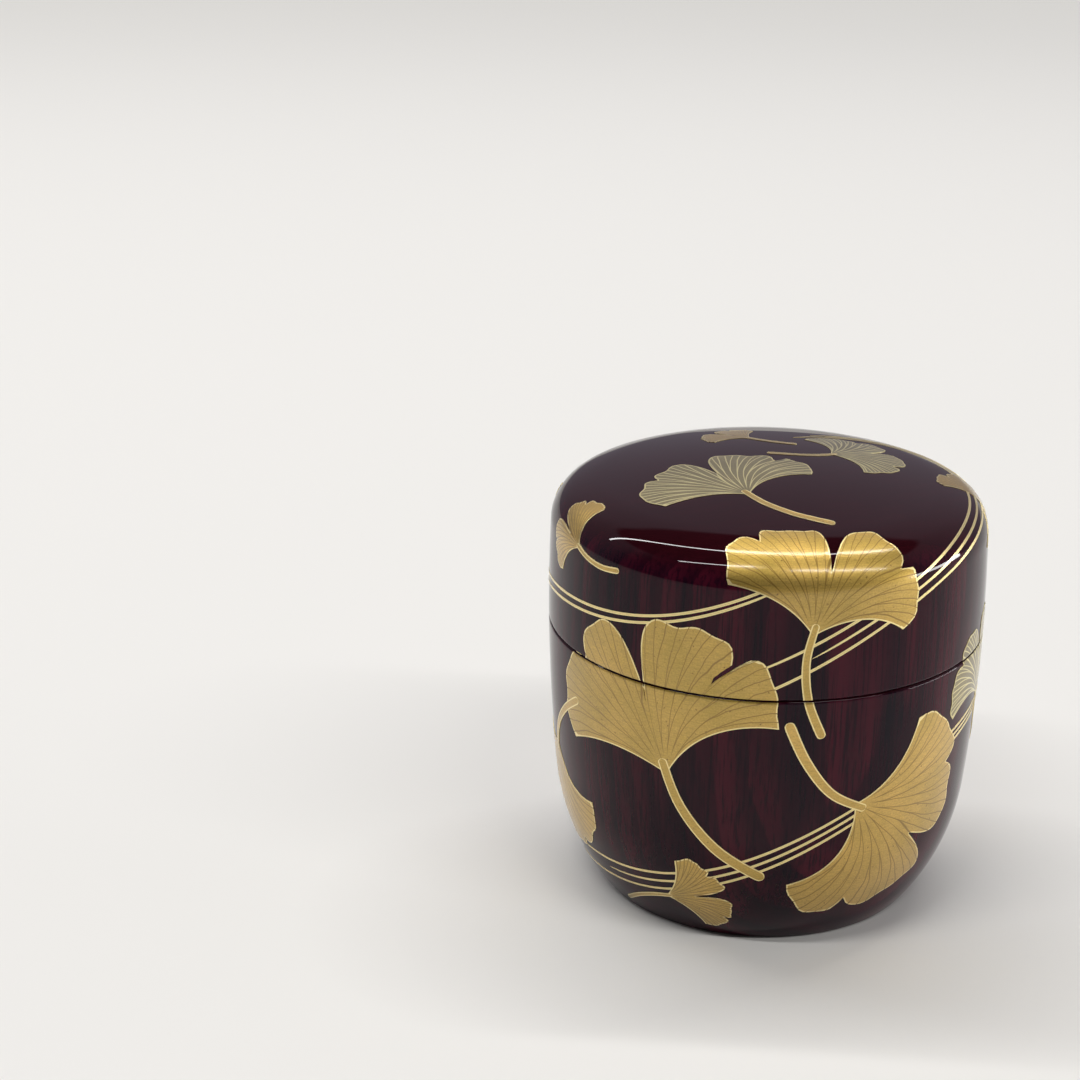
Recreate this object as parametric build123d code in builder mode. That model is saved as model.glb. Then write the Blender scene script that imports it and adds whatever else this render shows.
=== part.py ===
"""Turned and lacquered tea caddy: a round body with a standing rim, and a domed lid that slides down over it.

Both pieces are turned from wood and share one outer form, so the seam between them is only a fine line. Lacquer
covers the wood as thin coats: one outside, one inside and one under the foot. Every piece is a revolved profile.
The axis is Z, and the origin is the middle of the foot, on the surface that the caddy stands on.
"""

import os
from math import atan2, cos, degrees, radians, sin, sqrt

from build123d import *

# Driving dimensions in millimetres. Heights are measured up from the surface that the caddy stands on.

# The outer form, from the foot to the crown
total_height = 67.5
widest_radius = 33.5
widest_height = 46.2  # height at which the caddy is widest, a little above the seam
side_radius = 285.0  # slow barrel curve of the side
hip_radius = 36.0  # large round between the side and the foot
foot_radius = 24.6  # outer edge of the ring that touches the table
foot_edge_radius = 0.8
shoulder_radius = 6.0  # tight round at the top of the side
easing_radius = 24.0  # softer round that leads the shoulder into the dome
dome_radius = 140.0
dome_reach = 25.0  # distance from the axis at which the dome gives way to the easing

# The seam and the fit of the lid on the standing rim
seam_height = 43.0
rim_edge_radius = 0.5  # rounded outer edge of each of the two rims that meet at the seam
lid_wall = 1.9  # wall of the lid at the seam
lid_clearance = 0.1  # all round between the standing rim and the lid
standing_rim_wall = 1.6
standing_rim_height = 5.5  # above the seam
standing_rim_round = 0.6  # both top edges of the standing rim
lid_lead_in = 0.2  # rounded inner edge of the lid's mouth

# The hollows
floor_height = 4.8  # lowest point of the inner floor
floor_radius = 150.0  # shallow dish of the inner floor
floor_corner_radius = 11.0
lid_crown_wall = 2.8  # thickness of the lid at its crown
ceiling_radius = 125.0
ceiling_corner_radius = 7.0

# The underside
foot_ring_width = 3.0
base_recess = 0.8  # height of the recess inside the ring

# The coats of lacquer
outer_coat = 0.3  # outside, on the seam faces and under the foot
inner_coat = 0.2  # in the hollows and over the standing rim


def centre_above(first, first_distance, second, second_distance):
    """The point at the given distances from two centres, on the upper side of the line that joins them."""
    along = (second[0] - first[0], second[1] - first[1])
    span = sqrt(along[0] ** 2 + along[1] ** 2)
    reach = (first_distance**2 - second_distance**2 + span**2) / (2 * span)
    rise = sqrt(first_distance**2 - reach**2)
    return (
        first[0] + (reach * along[0] - rise * along[1]) / span,
        first[1] + (reach * along[1] + rise * along[0]) / span,
    )


def heading(start, end):
    """The direction from one centre to another in degrees, with 0 pointing away from the axis."""
    return degrees(atan2(end[1] - start[1], end[0] - start[0]))


def side_centre_at(radius, height):
    """The centre of a small arc at this height that touches the side curve from inside."""
    reach = sqrt((side_radius - radius) ** 2 - (height - side_centre[1]) ** 2)
    return (side_centre[0] + reach, height)


def arc(centre, radius, start, end):
    """An arc between two directions, which are in degrees."""
    CenterArc(centre, radius, start, end - start)


# Centres of the arcs of the outer form. Each arc touches the next from inside, so the outline has no corner.
side_centre = (widest_radius - side_radius, widest_height)
foot_edge_centre = (foot_radius, foot_edge_radius)
hip_centre = centre_above(
    side_centre, side_radius - hip_radius, foot_edge_centre, hip_radius - foot_edge_radius
)
dome_centre = (0, total_height - dome_radius)
dome_end = degrees(atan2(sqrt(dome_radius**2 - dome_reach**2), dome_reach))
easing_centre = (
    dome_centre[0] + (dome_radius - easing_radius) * cos(radians(dome_end)),
    dome_centre[1] + (dome_radius - easing_radius) * sin(radians(dome_end)),
)
shoulder_centre = centre_above(
    side_centre, side_radius - shoulder_radius, easing_centre, easing_radius - shoulder_radius
)
body_rim_centre = side_centre_at(rim_edge_radius, seam_height - rim_edge_radius)
lid_rim_centre = side_centre_at(rim_edge_radius, seam_height + rim_edge_radius)

# Radii of the fit, worked inwards from the outside of the seam
seam_radius = body_rim_centre[0] + rim_edge_radius
lid_bore = seam_radius - lid_wall
standing_rim_outer = lid_bore - lid_clearance
body_bore = standing_rim_outer - standing_rim_wall
standing_rim_top = seam_height + standing_rim_height
foot_ring_inner = foot_radius - foot_ring_width

# Centres of the arcs of the two hollows
floor_centre = (0, floor_height + floor_radius)
floor_corner_centre = (
    body_bore - floor_corner_radius,
    floor_centre[1]
    - sqrt((floor_radius - floor_corner_radius) ** 2 - (body_bore - floor_corner_radius) ** 2),
)
ceiling_centre = (0, total_height - lid_crown_wall - ceiling_radius)
ceiling_corner_centre = (
    lid_bore - ceiling_corner_radius,
    ceiling_centre[1]
    + sqrt((ceiling_radius - ceiling_corner_radius) ** 2 - (lid_bore - ceiling_corner_radius) ** 2),
)


def body_outside(depth):
    """The body's outside from the foot ring over the rim to the seat of the lid, this far under the surface."""
    foot_turn = heading(hip_centre, foot_edge_centre)
    hip_turn = heading(side_centre, hip_centre)
    rim_turn = heading(side_centre, body_rim_centre)
    arc(foot_edge_centre, foot_edge_radius - depth, -90, foot_turn)
    arc(hip_centre, hip_radius - depth, foot_turn, hip_turn)
    arc(side_centre, side_radius - depth, hip_turn, rim_turn)
    arc(body_rim_centre, rim_edge_radius - depth, rim_turn, 90)


def lid_outside(depth):
    """The lid's outside from its rim over the shoulder to the crown, this far under the surface."""
    rim_turn = heading(side_centre, lid_rim_centre)
    side_turn = heading(side_centre, shoulder_centre)
    shoulder_turn = heading(easing_centre, shoulder_centre)
    arc(lid_rim_centre, rim_edge_radius - depth, -90, rim_turn)
    arc(side_centre, side_radius - depth, rim_turn, side_turn)
    arc(shoulder_centre, shoulder_radius - depth, side_turn, shoulder_turn)
    arc(easing_centre, easing_radius - depth, shoulder_turn, dome_end)
    arc(dome_centre, dome_radius - depth, dome_end, 90)


def body_inside(depth):
    """The cup from its floor up and over the standing rim to the seat, this far under the lacquered surface."""
    round_height = standing_rim_top - standing_rim_round
    inner_round = (body_bore + standing_rim_round, round_height)
    outer_round = (standing_rim_outer - standing_rim_round, round_height)
    floor_turn = heading(floor_centre, floor_corner_centre)
    arc(floor_centre, floor_radius + depth, -90, floor_turn)
    arc(floor_corner_centre, floor_corner_radius + depth, floor_turn, 0)
    Line((body_bore + depth, floor_corner_centre[1]), (body_bore + depth, round_height))
    arc(inner_round, standing_rim_round - depth, 180, 90)
    Line((inner_round[0], standing_rim_top - depth), (outer_round[0], standing_rim_top - depth))
    arc(outer_round, standing_rim_round - depth, 90, 0)
    Line((standing_rim_outer - depth, round_height), (standing_rim_outer - depth, seam_height - outer_coat))


def lid_inside(depth):
    """The lid's hollow from the mouth up to the crown, this far under the lacquered surface."""
    ceiling_turn = heading(ceiling_centre, ceiling_corner_centre)
    Line((lid_bore + depth, seam_height + outer_coat), (lid_bore + depth, ceiling_corner_centre[1]))
    arc(ceiling_corner_centre, ceiling_corner_radius + depth, 0, ceiling_turn)
    arc(ceiling_centre, ceiling_radius + depth, ceiling_turn, 90)


# The body's wood: a cup with a standing rim, turned in one piece, with a ring foot under it
with BuildPart() as body_core:
    with BuildSketch(Plane.XZ):
        with BuildLine():
            body_outside(outer_coat)
            body_inside(inner_coat)
            Line(
                (body_rim_centre[0], seam_height - outer_coat),
                (standing_rim_outer - inner_coat, seam_height - outer_coat),
            )
            Polyline(
                (0, floor_height - inner_coat),
                (0, base_recess + outer_coat),
                (foot_ring_inner + outer_coat, base_recess + outer_coat),
                (foot_ring_inner + outer_coat, outer_coat),
                (foot_radius, outer_coat),
            )
        make_face()
    revolve(axis=Axis.Z)

# The clear wine-red coat over the body's outside, its rim and the seat that the lid stands on
with BuildPart() as body_outer_lacquer:
    with BuildSketch(Plane.XZ):
        with BuildLine():
            body_outside(0)
            body_outside(outer_coat)
            Line((foot_radius, 0), (foot_radius, outer_coat))
            Polyline(
                (body_rim_centre[0], seam_height),
                (standing_rim_outer, seam_height),
                (standing_rim_outer, seam_height - outer_coat),
                (body_rim_centre[0], seam_height - outer_coat),
            )
        make_face()
    revolve(axis=Axis.Z)

# The black coat that lines the cup and covers the standing rim down to the seat
with BuildPart() as body_inner_lacquer:
    with BuildSketch(Plane.XZ):
        with BuildLine():
            body_inside(0)
            body_inside(inner_coat)
            Line((0, floor_height), (0, floor_height - inner_coat))
            Line(
                (standing_rim_outer, seam_height - outer_coat),
                (standing_rim_outer - inner_coat, seam_height - outer_coat),
            )
        make_face()
    revolve(axis=Axis.Z)

# The black coat under the foot, over the ring that touches the table and the recess inside it
with BuildPart() as foot_lacquer:
    with BuildSketch(Plane.XZ):
        with BuildLine():
            Polyline(
                (0, base_recess),
                (foot_ring_inner, base_recess),
                (foot_ring_inner, 0),
                (foot_radius, 0),
                (foot_radius, outer_coat),
                (foot_ring_inner + outer_coat, outer_coat),
                (foot_ring_inner + outer_coat, base_recess + outer_coat),
                (0, base_recess + outer_coat),
                close=True,
            )
        make_face()
    revolve(axis=Axis.Z)

# The lid's wood: a shallow dome with a straight mouth that slides over the standing rim
with BuildPart() as lid_core:
    with BuildSketch(Plane.XZ):
        with BuildLine():
            lid_outside(outer_coat)
            lid_inside(inner_coat)
            Line(
                (lid_rim_centre[0], seam_height + outer_coat),
                (lid_bore + inner_coat, seam_height + outer_coat),
            )
            Line(
                (0, total_height - lid_crown_wall + inner_coat),
                (0, total_height - outer_coat),
            )
        make_face()
    revolve(axis=Axis.Z)

# The clear wine-red coat over the lid and round under its rim, with a rounded lead-in at the mouth
with BuildPart() as lid_outer_lacquer:
    with BuildSketch(Plane.XZ):
        with BuildLine():
            lid_outside(0)
            lid_outside(outer_coat)
            Line((0, total_height), (0, total_height - outer_coat))
            Line((lid_rim_centre[0], seam_height), (lid_bore + lid_lead_in, seam_height))
            arc((lid_bore + lid_lead_in, seam_height + lid_lead_in), lid_lead_in, -90, -180)
            Polyline(
                (lid_bore, seam_height + lid_lead_in),
                (lid_bore, seam_height + outer_coat),
                (lid_rim_centre[0], seam_height + outer_coat),
            )
        make_face()
    revolve(axis=Axis.Z)

# The black coat that lines the lid
with BuildPart() as lid_inner_lacquer:
    with BuildSketch(Plane.XZ):
        with BuildLine():
            lid_inside(0)
            lid_inside(inner_coat)
            Line((lid_bore, seam_height + outer_coat), (lid_bore + inner_coat, seam_height + outer_coat))
            Line(
                (0, total_height - lid_crown_wall),
                (0, total_height - lid_crown_wall + inner_coat),
            )
        make_face()
    revolve(axis=Axis.Z)

pieces = {
    "body_core": body_core,
    "body_outer_lacquer": body_outer_lacquer,
    "body_inner_lacquer": body_inner_lacquer,
    "foot_lacquer": foot_lacquer,
    "lid_core": lid_core,
    "lid_outer_lacquer": lid_outer_lacquer,
    "lid_inner_lacquer": lid_inner_lacquer,
}
os.makedirs("parts", exist_ok=True)
for piece_name, piece in pieces.items():
    piece.part.label = piece_name
    export_step(piece.part, f"parts/{piece_name}.step")
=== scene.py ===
"""Looks of a turned and lacquered tea caddy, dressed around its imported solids. Lengths are in metres."""

import math

import bmesh
import bpy
import numpy as np
from mathutils import Matrix, Vector


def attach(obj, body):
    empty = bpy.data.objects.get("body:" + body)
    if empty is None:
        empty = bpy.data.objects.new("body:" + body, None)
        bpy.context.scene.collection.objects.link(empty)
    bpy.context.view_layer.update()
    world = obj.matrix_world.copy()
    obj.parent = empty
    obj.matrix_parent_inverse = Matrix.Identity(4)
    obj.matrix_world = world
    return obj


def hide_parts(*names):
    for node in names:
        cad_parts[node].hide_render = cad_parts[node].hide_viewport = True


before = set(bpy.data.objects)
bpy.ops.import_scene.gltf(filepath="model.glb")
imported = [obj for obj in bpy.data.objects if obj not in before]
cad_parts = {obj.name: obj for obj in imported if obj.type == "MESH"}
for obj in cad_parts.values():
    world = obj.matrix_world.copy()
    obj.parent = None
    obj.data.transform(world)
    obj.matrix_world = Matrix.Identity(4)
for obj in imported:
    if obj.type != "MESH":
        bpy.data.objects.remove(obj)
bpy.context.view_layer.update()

# The camera stands where the photograph was taken from: 0.36 m from the caddy, looking down by 20 degrees
# and a little past it to the left, so the caddy is low and right in the picture.
camera_place = Vector((0, -0.3206, 0.1731))
camera_turn = -0.109  # radians from straight ahead, minus to the left
camera_dip = 0.355  # radians below the horizon
camera_roll = 0.002
lens_mm = 73.7


def add_object(name, data):
    """A new object in the scene, with this data."""
    made = bpy.data.objects.new(name, data)
    bpy.context.scene.collection.objects.link(made)
    return made


camera = add_object("camera", bpy.data.cameras.new("camera"))
camera.data.lens = lens_mm
camera.data.sensor_width = 36.0
camera.data.clip_start = 0.01
ahead = Vector(
    (
        math.sin(camera_turn) * math.cos(camera_dip),
        math.cos(camera_turn) * math.cos(camera_dip),
        -math.sin(camera_dip),
    )
)
sideways = Vector((math.cos(camera_turn), -math.sin(camera_turn), 0))
upwards = sideways.cross(ahead)
level = Matrix((sideways, upwards, -ahead)).transposed()
rolled = level @ Matrix.Rotation(camera_roll, 3, "Z")
camera.matrix_world = Matrix.Translation(camera_place) @ rolled.to_4x4()
bpy.context.scene.camera = camera
bpy.context.scene.view_settings.view_transform = "Standard"


# The floor: a round sheet of matt warm white paper, so wide that the camera sees nothing else. The lamps do
# not reach its far parts, so there it glows in its own colour, for the camera and in mirrored views alone.
paper_code = "E9E7E2"
paper_radius = 12.0
paper_sides = 96
glow_from, glow_full = 0.6, 1.9  # metres from the caddy
glow_strength = 0.92
smooth_step = {"interpolation_type": "SMOOTHSTEP"}  # of a node that fades from one value to another


def colour(code):
    """The linear colour of an sRGB hex code such as C8A45A."""
    parts = [int(code[i : i + 2], 16) / 255 for i in (0, 2, 4)]
    return [p / 12.92 if p <= 0.04045 else ((p + 0.055) / 1.055) ** 2.4 for p in parts] + [1.0]


def add_node(tree, kind, settings=None, inputs=None):
    """Adds a node with its settings, or just the name of its operation. An input given as a node or a socket
    is linked, and any other is set."""
    node = tree.nodes.new(kind)
    if isinstance(settings, str):
        settings = {"operation": settings}
    for name, value in (settings or {}).items():
        setattr(node, name, value)
    for name, value in (inputs or {}).items():
        if isinstance(value, bpy.types.Node):
            value = next(socket for socket in value.outputs if socket.enabled)
        if isinstance(value, bpy.types.NodeSocket):
            tree.links.new(value, node.inputs[name])
        else:
            node.inputs[name].default_value = value
    return node


def new_material(name):
    """An empty node material and its tree."""
    material = bpy.data.materials.new(name)
    material.use_nodes = True
    material.node_tree.nodes.clear()
    return material, material.node_tree


turns = [math.tau * i / paper_sides for i in range(paper_sides)]
corners = [(paper_radius * math.cos(turn), paper_radius * math.sin(turn), 0) for turn in turns]
paper_mesh = bpy.data.meshes.new("paper_floor")
paper_mesh.from_pydata(corners, [], [list(range(paper_sides))])
paper = add_object("paper_floor", paper_mesh)
paper_material, tree = new_material("matt_paper")
place = add_node(tree, "ShaderNodeTexCoord")
distance = add_node(tree, "ShaderNodeVectorMath", "LENGTH", {0: place.outputs["Object"]})
far_off = add_node(
    tree, "ShaderNodeMapRange", smooth_step, {"Value": distance, "From Min": glow_from, "From Max": glow_full}
)
ray = add_node(tree, "ShaderNodeLightPath")
seen = 0.0
for kind in ("Is Camera Ray", "Is Glossy Ray", "Is Transmission Ray"):
    seen = add_node(tree, "ShaderNodeMath", "MAXIMUM", {0: seen, 1: ray.outputs[kind]})
glowing = add_node(tree, "ShaderNodeMath", "MULTIPLY", {0: seen, 1: far_off})
diffuse = add_node(tree, "ShaderNodeBsdfDiffuse", inputs={"Color": colour(paper_code)})
glow = add_node(tree, "ShaderNodeEmission", inputs={"Color": colour(paper_code), "Strength": glow_strength})
sheet = add_node(tree, "ShaderNodeMixShader", inputs={0: glowing, 1: diffuse, 2: glow})
add_node(tree, "ShaderNodeOutputMaterial", inputs={"Surface": sheet})
paper_mesh.materials.append(paper_material)


# The light: long white tubes under a dark ceiling, one row a little behind the caddy and one in front of it,
# and a low strip of window far to its right. The room is dim, but for a pale wall behind the caddy that ends
# halfway up. The lid mirrors it all.
tube_height = 1.65
tube_width = 0.07
tube_watts_per_metre = 9.0
tube_ends = {  # from x, to x, y
    "tube_behind": (-2.30, 0.95, 0.57),
    "tube_in_front": (-1.20, -0.10, -0.72),
    "tube_in_front_right": (0.35, 2.40, -0.92),
}
window_place = (2.95, 0.30, 0.12)
window_size = (1.9, 0.22)  # its width and height
window_watts = 34.0


def add_lamp(name, place, turns, size, watts):
    """A flat rectangular lamp. Unturned, it shines straight down."""
    light = bpy.data.lights.new(name, "AREA")
    light.shape = "RECTANGLE"
    light.size, light.size_y = size
    light.energy = watts
    lamp = add_object(name, light)
    lamp.location, lamp.rotation_euler = place, turns


for name, (start_x, end_x, y) in tube_ends.items():
    length = end_x - start_x
    place = ((start_x + end_x) / 2, y, tube_height)
    add_lamp(name, place, (0, 0, 0), (length, tube_width), tube_watts_per_metre * length)
facing_caddy = math.atan2(window_place[1], window_place[0]) + math.pi / 2
add_lamp("window_right", window_place, (math.pi / 2, 0, facing_caddy), window_size, window_watts)

# Brightness of the room's back by the sine of the height angle, and of its front. The wall is cool.
wall_light = {0.0: 0.24, 0.20: 0.29, 0.45: 0.36, 0.69: 0.42, 0.72: 0.04, 1.0: 0.03}
wall_tint = (1.0, 0.97, 1.14)
front_light = (0.04, 0.04, 0.04, 1.0)
back_from, back_full = -0.35, 0.10  # where the back begins, by the direction's part to the back
in_colour = {"data_type": "RGBA"}  # of a node that mixes colours


def fill_ramp(node, colours):
    """Sets the stops of a colour ramp from a table of their places, from 0 to 1, and their linear colours."""
    stops = node.color_ramp.elements
    for place in list(colours)[1:-1]:
        stops.new(place)
    for stop, linear in zip(stops, colours.values()):
        stop.color = linear


world = bpy.data.worlds.new("room")
bpy.context.scene.world = world
world.use_nodes = True
tree = world.node_tree
tree.nodes.clear()
direction = add_node(tree, "ShaderNodeTexCoord")
parts = add_node(tree, "ShaderNodeSeparateXYZ", inputs={"Vector": direction.outputs["Generated"]})
wall = add_node(tree, "ShaderNodeValToRGB", inputs={"Fac": parts.outputs["Z"]})
fill_ramp(wall, {place: (*(light * part for part in wall_tint), 1) for place, light in wall_light.items()})
behind = add_node(
    tree,
    "ShaderNodeMapRange",
    smooth_step,
    {"Value": parts.outputs["Y"], "From Min": back_from, "From Max": back_full},
)
room = add_node(tree, "ShaderNodeMix", in_colour, {"Factor": behind, "A": front_light, "B": wall})
background = add_node(tree, "ShaderNodeBackground", inputs={"Color": room})
add_node(tree, "ShaderNodeOutputWorld", inputs={"Surface": background})


# The body and lid cores: each turned from one close-grained block of maple that stands on end, so its fibres
# run up the sides. Lacquer covers them all over.
fibre_width, fibre_length = 0.4, 8.0  # mm
dark_maple, pale_maple = "8E6238", "BC9362"


def cover(names, material):
    """Gives solids of the frame this material in place of their own."""
    for name in names:
        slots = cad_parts[name].data.materials
        slots.clear()
        slots.append(material)


wood_material, tree = new_material("turned_maple")
place = add_node(tree, "ShaderNodeTexCoord")
fibre_scale = (1000 / fibre_width, 1000 / fibre_width, 1000 / fibre_length)
fibre_space = add_node(tree, "ShaderNodeVectorMath", "MULTIPLY", {0: place.outputs["Object"], 1: fibre_scale})
fibres = add_node(tree, "ShaderNodeTexNoise", inputs={"Vector": fibre_space, "Scale": 0.5, "Detail": 3.0})
maple = add_node(
    tree, "ShaderNodeMix", in_colour, {"Factor": fibres, "A": colour(dark_maple), "B": colour(pale_maple)}
)
shader = add_node(tree, "ShaderNodeBsdfPrincipled", inputs={"Base Color": maple, "Roughness": 0.6})
add_node(tree, "ShaderNodeOutputMaterial", inputs={"Surface": shader})
cover(("body_core", "lid_core"), wood_material)


# The outside lacquer: wine-red see-through lacquer over the stained wood, built up in many coats and polished
# to a mirror. The growth rings and pores of the wood show dimly under it. Each coat is turned here with more
# sides than its solid, from the same dimensions, so that no facet shows in the gloss.
mm = 0.001
total_height = 67.5 * mm
widest_radius = 33.5 * mm
widest_height = 46.2 * mm
side_radius = 285.0 * mm
hip_radius = 36.0 * mm
foot_radius = 24.6 * mm
foot_edge_radius = 0.8 * mm
shoulder_radius = 6.0 * mm
easing_radius = 24.0 * mm
dome_radius = 140.0 * mm
dome_reach = 25.0 * mm
seam_height = 43.0 * mm
rim_edge_radius = 0.5 * mm
lid_wall = 1.9 * mm
lid_clearance = 0.1 * mm
lid_lead_in = 0.2 * mm
outer_coat = 0.3 * mm
turned_sides = 288
chord = 0.6 * mm  # longest straight of an outline
least_bend = math.radians(9)  # each straight of a small round turns by at most this


def centre_above(first, first_distance, second, second_distance):
    """The point at the given distances from two centres, on the upper side of the line that joins them."""
    along = (second[0] - first[0], second[1] - first[1])
    span = math.hypot(*along)
    reach = (first_distance**2 - second_distance**2 + span**2) / (2 * span)
    rise = math.sqrt(first_distance**2 - reach**2)
    return (
        first[0] + (reach * along[0] - rise * along[1]) / span,
        first[1] + (reach * along[1] + rise * along[0]) / span,
    )


def heading(start, end):
    """The direction from one centre to another, with 0 pointing away from the axis."""
    return math.atan2(end[1] - start[1], end[0] - start[0])


def side_centre_at(radius, height):
    """The centre of a small arc at this height that touches the side curve from inside."""
    reach = math.sqrt((side_radius - radius) ** 2 - (height - side_centre[1]) ** 2)
    return (side_centre[0] + reach, height)


def arc(centre, radius, start, end):
    """Points along an arc of an outline, from one direction to another."""
    bend = end - start
    steps = max(math.ceil(abs(bend) * radius / chord), math.ceil(abs(bend) / least_bend), 1)
    turns = [start + bend * i / steps for i in range(steps + 1)]
    return [(centre[0] + radius * math.cos(t), centre[1] + radius * math.sin(t)) for t in turns]


side_centre = (widest_radius - side_radius, widest_height)
foot_edge_centre = (foot_radius, foot_edge_radius)
hip_centre = centre_above(
    side_centre, side_radius - hip_radius, foot_edge_centre, hip_radius - foot_edge_radius
)
dome_centre = (0, total_height - dome_radius)
dome_end = math.acos(dome_reach / dome_radius)
easing_centre = (
    (dome_radius - easing_radius) * math.cos(dome_end),
    dome_centre[1] + (dome_radius - easing_radius) * math.sin(dome_end),
)
shoulder_centre = centre_above(
    side_centre, side_radius - shoulder_radius, easing_centre, easing_radius - shoulder_radius
)
body_rim_centre = side_centre_at(rim_edge_radius, seam_height - rim_edge_radius)
lid_rim_centre = side_centre_at(rim_edge_radius, seam_height + rim_edge_radius)
lid_bore = body_rim_centre[0] + rim_edge_radius - lid_wall
standing_rim_outer = lid_bore - lid_clearance


def without_doubles(points):
    """The points with each that repeats the one before it left out."""
    return [p for i, p in enumerate(points) if i == 0 or math.dist(p, points[i - 1]) > 1e-7]


def lid_outside(depth):
    """The lid's outline from the crown down to its rim, this far under the surface."""
    rim_turn = heading(side_centre, lid_rim_centre)
    side_turn = heading(side_centre, shoulder_centre)
    shoulder_turn = heading(easing_centre, shoulder_centre)
    return without_doubles(
        arc(dome_centre, dome_radius - depth, math.pi / 2, dome_end)
        + arc(easing_centre, easing_radius - depth, dome_end, shoulder_turn)
        + arc(shoulder_centre, shoulder_radius - depth, shoulder_turn, side_turn)
        + arc(side_centre, side_radius - depth, side_turn, rim_turn)
        + arc(lid_rim_centre, rim_edge_radius - depth, rim_turn, -math.pi / 2)
    )


def body_outside(depth):
    """The body's outline from its rim down to the foot, this far under the surface."""
    foot_turn = heading(hip_centre, foot_edge_centre)
    hip_turn = heading(side_centre, hip_centre)
    rim_turn = heading(side_centre, body_rim_centre)
    return without_doubles(
        arc(body_rim_centre, rim_edge_radius - depth, math.pi / 2, rim_turn)
        + arc(side_centre, side_radius - depth, rim_turn, hip_turn)
        + arc(hip_centre, hip_radius - depth, hip_turn, foot_turn)
        + arc(foot_edge_centre, foot_edge_radius - depth, foot_turn, -math.pi / 2)
    )


def outline_object(name, points):
    """An object whose mesh is only an outline: its points in the XZ plane, joined in order."""
    mesh = bpy.data.meshes.new(name)
    mesh.from_pydata([(r, 0, z) for r, z in points], [(i, i + 1) for i in range(len(points) - 1)], [])
    return add_object(name, mesh)


def apply_nodes(made, tree, values):
    """Runs a Geometry Nodes tree on an object with these inputs, and keeps the result as a plain mesh."""
    modifier = made.modifiers.new(tree.name, "NODES")
    modifier.node_group = tree
    sockets = {s.name: s.identifier for s in tree.interface.items_tree if s.in_out == "INPUT"}
    for name, value in values.items():
        modifier[sockets[name]] = value
    evaluated = made.evaluated_get(bpy.context.evaluated_depsgraph_get())
    mesh = bpy.data.meshes.new_from_object(evaluated)
    made.modifiers.clear()
    made.data = mesh


def new_tree(name, sizes):
    """A Geometry Nodes tree with these named inputs between its geometry and its material, and their node."""
    tree = bpy.data.node_groups.new(name, "GeometryNodeTree")
    tree.interface.new_socket("Geometry", in_out="OUTPUT", socket_type="NodeSocketGeometry")
    for socket, kind in {"Geometry": "Geometry", **sizes, "Material": "Material"}.items():
        tree.interface.new_socket(socket, in_out="INPUT", socket_type=f"NodeSocket{kind}")
    return tree, add_node(tree, "NodeGroupInput")


def end_tree(tree, given, shape, sharp_angle):
    """Ends a tree: its shape is shaded smooth but for its sharp edges, and gets the given material."""
    smooth = add_node(tree, "GeometryNodeSetShadeSmooth", inputs={"Geometry": shape})
    edge_angle = add_node(tree, "GeometryNodeInputMeshEdgeAngle")
    is_sharp = add_node(tree, "FunctionNodeCompare", "GREATER_THAN", {0: edge_angle, 1: sharp_angle})
    creased = add_node(
        tree,
        "GeometryNodeSetShadeSmooth",
        {"domain": "EDGE"},
        {"Geometry": smooth, "Selection": is_sharp, "Shade Smooth": False},
    )
    real = add_node(tree, "GeometryNodeRealizeInstances", inputs={"Geometry": creased})
    finished = add_node(
        tree, "GeometryNodeSetMaterial", inputs={"Geometry": real, "Material": given.outputs["Material"]}
    )
    add_node(tree, "NodeGroupOutput", inputs={"Geometry": finished})


# The lathe: a grid with one column a side, bent round the axis and merged where it meets itself
lathe, given = new_tree("turn_on_lathe", {"Sides": "Int"})
outline, sides = given.outputs["Geometry"], given.outputs["Sides"]
outline_size = add_node(lathe, "GeometryNodeAttributeDomainSize", inputs={"Geometry": outline})
per_column = outline_size.outputs["Point Count"]
columns = add_node(lathe, "ShaderNodeMath", "ADD", {0: sides, 1: 1.0})
grid = add_node(lathe, "GeometryNodeMeshGrid", inputs={"Vertices X": columns, "Vertices Y": per_column})
index = add_node(lathe, "GeometryNodeInputIndex")
row = add_node(lathe, "FunctionNodeIntegerMath", "MODULO", {0: index, 1: per_column})
column = add_node(lathe, "FunctionNodeIntegerMath", "DIVIDE_FLOOR", {0: index, 1: per_column})
column_turn = add_node(lathe, "ShaderNodeMath", "DIVIDE", {0: math.tau, 1: sides})
turn = add_node(lathe, "ShaderNodeMath", "MULTIPLY", {0: column, 1: column_turn})
position = add_node(lathe, "GeometryNodeInputPosition")
point = add_node(
    lathe,
    "GeometryNodeSampleIndex",
    {"data_type": "FLOAT_VECTOR"},
    {"Geometry": outline, "Value": position, "Index": row},
)
swung = add_node(
    lathe, "ShaderNodeVectorRotate", {"rotation_type": "Z_AXIS"}, {"Vector": point, "Angle": turn}
)
bent = add_node(lathe, "GeometryNodeSetPosition", inputs={"Geometry": grid, "Position": swung})
merged = add_node(lathe, "GeometryNodeMergeByDistance", inputs={"Geometry": bent, "Distance": 1e-6})
outward = add_node(lathe, "GeometryNodeFlipFaces", inputs={"Mesh": merged})
end_tree(lathe, given, outward, sharp_angle=math.radians(35))

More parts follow.
